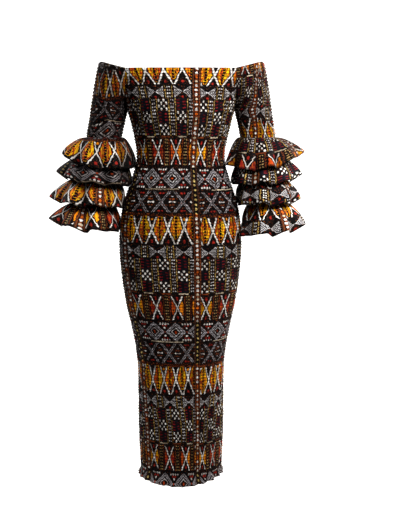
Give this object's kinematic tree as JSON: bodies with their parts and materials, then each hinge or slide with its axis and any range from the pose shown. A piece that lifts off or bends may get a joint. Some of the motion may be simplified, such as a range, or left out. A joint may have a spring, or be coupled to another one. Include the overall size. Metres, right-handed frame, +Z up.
{
  "type": "off-shoulder shirred dress in African wax print",
  "caption": "Worn off-shoulder dress in African wax print: a slim shirred tube from bust to calf, frilled hem, shirred sleeves with tiers of ruffles, open neck, cuffs and hem.",
  "frame": {"origin": "middle of the neck opening, level with the front neck edge, where the elastic holds on the wearer", "axes": "+Z up, the front of the dress faces -Y, +X to the right as the front is seen"},
  "size_m": [0.7179, 0.2465, 1.196],
  "materials": {
    "shirred_print": "wax-printed cotton gathered on rows of elastic thread, near-black ground with white, ochre, orange, dark red and grey figures",
    "ruffle_print": "crisp wax-printed cotton with a faint sheen, near-black ground with yellow, orange and white figures"
  },
  "bodies": {
    "root": {"dress_front": "shirred_print", "dress_back": "shirred_print", "sleeve_left": "shirred_print", "sleeve_right": "shirred_print", "ruffle_left_1": "ruffle_print", "ruffle_left_2": "ruffle_print", "ruffle_left_3": "ruffle_print", "ruffle_left_4": "ruffle_print", "ruffle_right_1": "ruffle_print", "ruffle_right_2": "ruffle_print", "ruffle_right_3": "ruffle_print", "ruffle_right_4": "ruffle_print"}
  },
  "joints": []
}
